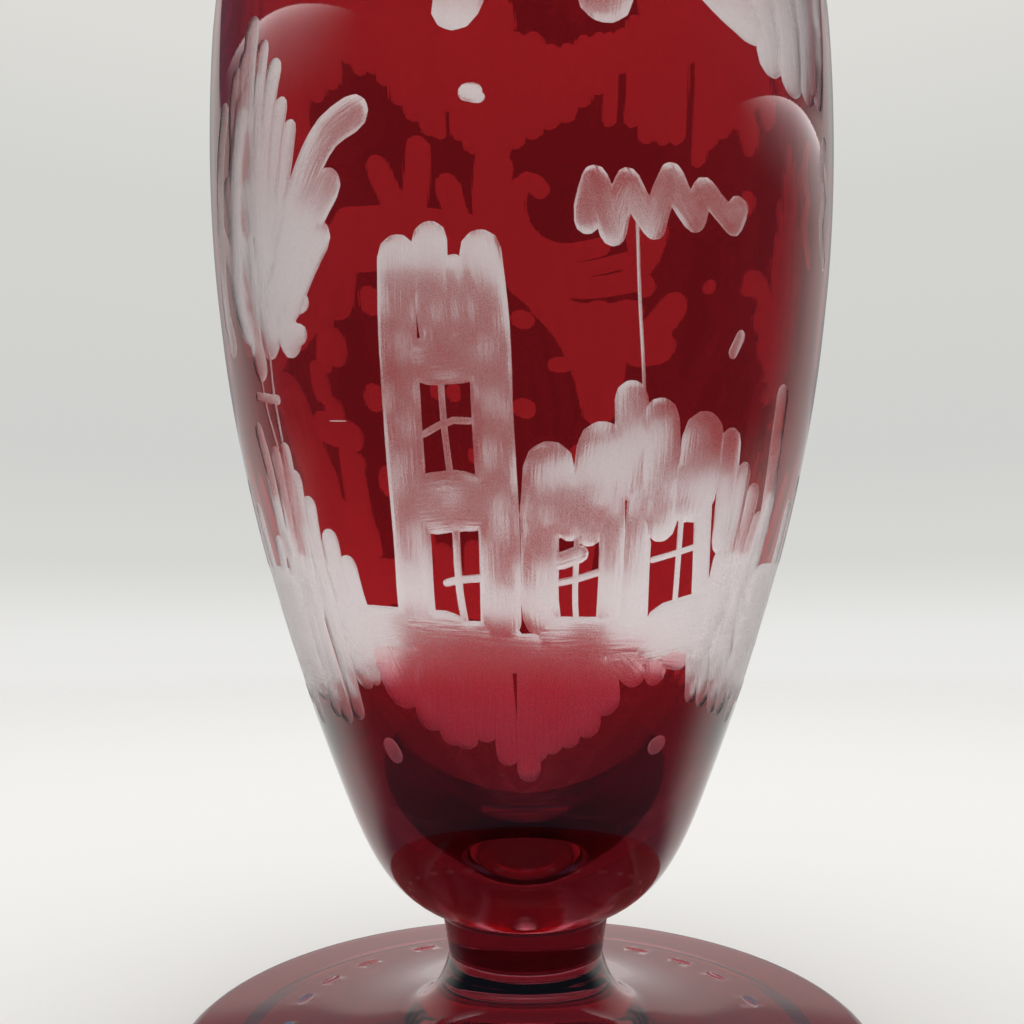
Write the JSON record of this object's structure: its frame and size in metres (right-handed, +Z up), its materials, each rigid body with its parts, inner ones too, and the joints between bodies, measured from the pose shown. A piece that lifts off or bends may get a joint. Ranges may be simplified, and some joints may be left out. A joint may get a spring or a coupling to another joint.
{
  "type": "bud vase",
  "caption": "Footed bud vase in ruby-flashed clear glass: tapering ovoid body on a short stem and round foot, narrow neck, flared lip, engraved landscape all round.",
  "frame": {"origin": "where the vase's axis meets the surface that it stands on", "axes": "+Z up along the axis of the vase; the main engraved view faces -Y"},
  "size_m": [0.076, 0.076, 0.2],
  "materials": {
    "clear_glass": "fire-polished",
    "ruby_glass": "polished, with matte wheel engraving cut through it"
  },
  "bodies": {
    "root": {"bowl": "clear_glass", "bowl_ruby_flash": "ruby_glass", "stem": "clear_glass", "stem_ruby_flash": "ruby_glass", "foot": "clear_glass", "foot_ruby_flash": "ruby_glass"}
  },
  "joints": []
}
